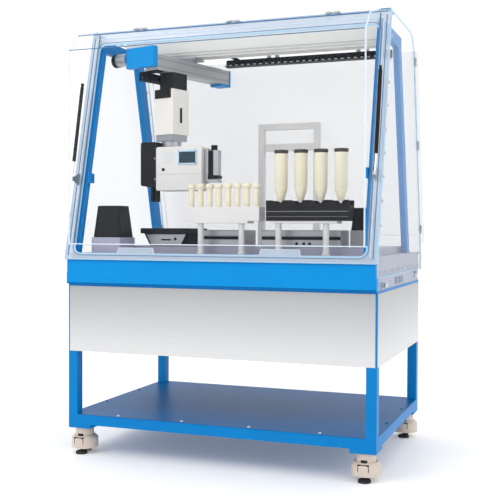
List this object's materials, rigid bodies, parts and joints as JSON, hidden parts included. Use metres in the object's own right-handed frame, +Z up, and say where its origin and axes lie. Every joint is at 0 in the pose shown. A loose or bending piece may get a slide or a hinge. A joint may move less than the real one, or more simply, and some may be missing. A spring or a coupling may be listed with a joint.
{
  "type": "automated sample preparation system",
  "caption": "Laboratory sample preparation robot: clear hood with lifting doors on a caster stand, overhead gantry with swinging arm and tool head above racked tubes and cartridges.",
  "frame": {"origin": "on the floor under the middle of the machine", "axes": "+Z up, front faces -Y, +X to the right seen from the front"},
  "size_m": [1.644, 1.224, 2.208],
  "materials": {
    "stand_paint": "bright blue powder coat",
    "steel_clad": "brushed sheet, grain level",
    "caster_shell": "cream moulded plastic",
    "wheel_black": "moulded tread",
    "foot_rubber": "moulded pad",
    "blue_paint": "bright blue satin paint",
    "base_paint": "pale blue white paint",
    "deck_paint": "pale lilac grey paint",
    "plated": "plated metal",
    "clear_sheet": "clear sheet, polished edges",
    "blue_sheet": "blue tinted sheet",
    "grey_sheet": "grey translucent sheet",
    "bare_steel": "machined",
    "black_paint": "black satin paint",
    "cream_paint": "cream satin paint",
    "alu": "anodised",
    "black_plastic": "fine grain",
    "cream_plastic": "smooth shell",
    "tube_plastic": "translucent cream",
    "cap_plastic": "dark moulded",
    "white_plastic": "plain white",
    "grey_paint": "grey satin paint"
  },
  "bodies": {
    "frame": {"balance": "black_plastic", "base_band": "blue_paint", "base_panels": "base_paint", "beam_chain": "black_plastic", "cartridge_caps": "cap_plastic", "cartridge_rack": "black_plastic", "cartridges": "tube_plastic", "chain_tray": "alu", "deck_modules": "grey_paint", "deck_plate": "deck_paint", "foot_plates": "stand_paint", "gantry_beam": "cream_paint", "gantry_frames": "blue_paint", "hood_fittings": "bare_steel", "hood_front_frame": "blue_sheet", "hood_rear_panel": "grey_sheet", "hood_side_walls": "clear_sheet", "hood_top_panel": "clear_sheet", "rack_posts": "white_plastic", "rear_portal": "grey_paint", "sample_tubes": "tube_plastic", "shelf": "stand_paint", "side_connectors": "plated", "stand_beams": "stand_paint", "stand_legs": "stand_paint", "steel_panels": "steel_clad", "tapered_modules": "black_plastic", "tube_rack": "white_plastic"},
    "front_door": {"front_door": "clear_sheet"},
    "rear_door": {"rear_door": "grey_sheet"},
    "x_carriage": {"x_carriage": "alu"},
    "arm": {"arm_beam": "alu", "arm_blocks": "blue_paint", "arm_motor": "alu", "arm_chain": "black_plastic"},
    "column": {"column_carriage": "alu", "column_housing": "cream_plastic"},
    "lift": {"lift_slide": "alu"},
    "tool": {"tool_head": "cream_plastic", "gripper_module": "black_plastic", "dosing_unit": "alu"},
    "strut_left_rod": {"strut_left_rod": "plated"},
    "strut_left_cylinder": {"strut_left_cylinder": "black_paint"},
    "strut_right_rod": {"strut_right_rod": "plated"},
    "strut_right_cylinder": {"strut_right_cylinder": "black_paint"},
    "caster_front_left_housing": {"caster_front_left_housing": "caster_shell"},
    "caster_front_left_wheel": {"caster_front_left_wheel": "wheel_black"},
    "caster_front_left_foot": {"caster_front_left_foot": "foot_rubber"},
    "caster_front_right_housing": {"caster_front_right_housing": "caster_shell"},
    "caster_front_right_wheel": {"caster_front_right_wheel": "wheel_black"},
    "caster_front_right_foot": {"caster_front_right_foot": "foot_rubber"},
    "caster_rear_left_housing": {"caster_rear_left_housing": "caster_shell"},
    "caster_rear_left_wheel": {"caster_rear_left_wheel": "wheel_black"},
    "caster_rear_left_foot": {"caster_rear_left_foot": "foot_rubber"},
    "caster_rear_right_housing": {"caster_rear_right_housing": "caster_shell"},
    "caster_rear_right_wheel": {"caster_rear_right_wheel": "wheel_black"},
    "caster_rear_right_foot": {"caster_rear_right_foot": "foot_rubber"}
  },
  "joints": [
    {"name": "front_door_hinge", "type": "hinge", "parent": "frame", "child": "front_door", "pos_m": [0, -0.3, 2.202], "axis": [-1, 0, 0], "range_deg": [0, 62]},
    {"name": "rear_door_hinge", "type": "hinge", "parent": "frame", "child": "rear_door", "pos_m": [0, 0.3575, 2.128], "axis": [1, 0, 0], "range_deg": [0, 70]},
    {"name": "x_travel", "type": "slide", "parent": "frame", "child": "x_carriage", "axis": [1, 0, 0], "range_m": [-0.02, 0.8]},
    {"name": "arm_swing", "type": "hinge", "parent": "x_carriage", "child": "arm", "pos_m": [-0.383, 0, 2.07], "axis": [0, 0, 1], "range_deg": [-2, 40]},
    {"name": "column_travel", "type": "slide", "parent": "arm", "child": "column", "axis": [0.2689, 0.9632, 0], "range_m": [-0.02, 0.32]},
    {"name": "tool_lift", "type": "slide", "parent": "column", "child": "lift", "axis": [0, 0, 1], "range_m": [-0.13, 0]},
    {"name": "tool_swivel", "type": "hinge", "parent": "lift", "child": "tool", "pos_m": [-0.41796, -0.12521, 1.6], "axis": [0, 0, 1], "range_deg": [-10, 25]},
    {"name": "strut_left_tilt", "type": "hinge", "parent": "frame", "child": "strut_left_rod", "pos_m": [-0.784, -0.535, 1.408], "axis": [1, 0, 0], "range_deg": [0, 20]},
    {"name": "strut_left_stroke", "type": "slide", "parent": "strut_left_rod", "child": "strut_left_cylinder", "axis": [0, 0.203, 0.9792], "range_m": [0, 0.28]},
    {"name": "strut_right_tilt", "type": "hinge", "parent": "frame", "child": "strut_right_rod", "pos_m": [0.784, -0.535, 1.408], "axis": [1, 0, 0], "range_deg": [0, 20]},
    {"name": "strut_right_stroke", "type": "slide", "parent": "strut_right_rod", "child": "strut_right_cylinder", "axis": [0, 0.203, 0.9792], "range_m": [0, 0.28]},
    {"name": "caster_front_left_swivel", "type": "hinge", "parent": "frame", "child": "caster_front_left_housing", "pos_m": [-0.74, -0.48, 0.09], "axis": [0, 0, 1], "continuous": true},
    {"name": "caster_front_left_roll", "type": "hinge", "parent": "caster_front_left_housing", "child": "caster_front_left_wheel", "pos_m": [-0.74, -0.446, 0.035], "axis": [1, 0, 0], "continuous": true},
    {"name": "caster_front_left_screw", "type": "slide", "parent": "caster_front_left_housing", "child": "caster_front_left_foot", "axis": [0, 0, 1], "range_m": [-0.01, 0.001]},
    {"name": "caster_front_right_swivel", "type": "hinge", "parent": "frame", "child": "caster_front_right_housing", "pos_m": [0.74, -0.48, 0.09], "axis": [0, 0, 1], "continuous": true},
    {"name": "caster_front_right_roll", "type": "hinge", "parent": "caster_front_right_housing", "child": "caster_front_right_wheel", "pos_m": [0.74, -0.446, 0.035], "axis": [1, 0, 0], "continuous": true},
    {"name": "caster_front_right_screw", "type": "slide", "parent": "caster_front_right_housing", "child": "caster_front_right_foot", "axis": [0, 0, 1], "range_m": [-0.01, 0.001]},
    {"name": "caster_rear_left_swivel", "type": "hinge", "parent": "frame", "child": "caster_rear_left_housing", "pos_m": [-0.74, 0.48, 0.09], "axis": [0, 0, 1], "continuous": true},
    {"name": "caster_rear_left_roll", "type": "hinge", "parent": "caster_rear_left_housing", "child": "caster_rear_left_wheel", "pos_m": [-0.74, 0.514, 0.035], "axis": [1, 0, 0], "continuous": true},
    {"name": "caster_rear_left_screw", "type": "slide", "parent": "caster_rear_left_housing", "child": "caster_rear_left_foot", "axis": [0, 0, 1], "range_m": [-0.01, 0.001]},
    {"name": "caster_rear_right_swivel", "type": "hinge", "parent": "frame", "child": "caster_rear_right_housing", "pos_m": [0.74, 0.48, 0.09], "axis": [0, 0, 1], "continuous": true},
    {"name": "caster_rear_right_roll", "type": "hinge", "parent": "caster_rear_right_housing", "child": "caster_rear_right_wheel", "pos_m": [0.74, 0.514, 0.035], "axis": [1, 0, 0], "continuous": true},
    {"name": "caster_rear_right_screw", "type": "slide", "parent": "caster_rear_right_housing", "child": "caster_rear_right_foot", "axis": [0, 0, 1], "range_m": [-0.01, 0.001]}
  ],
  "couplings": [
    {"joint": "strut_left_tilt", "follows": "front_door_hinge", "ratio": 0.3013},
    {"joint": "strut_left_stroke", "follows": "front_door_hinge", "m_per_rad": 0.2522},
    {"joint": "strut_right_tilt", "follows": "front_door_hinge", "ratio": 0.3013},
    {"joint": "strut_right_stroke", "follows": "front_door_hinge", "m_per_rad": 0.2522}
  ]
}
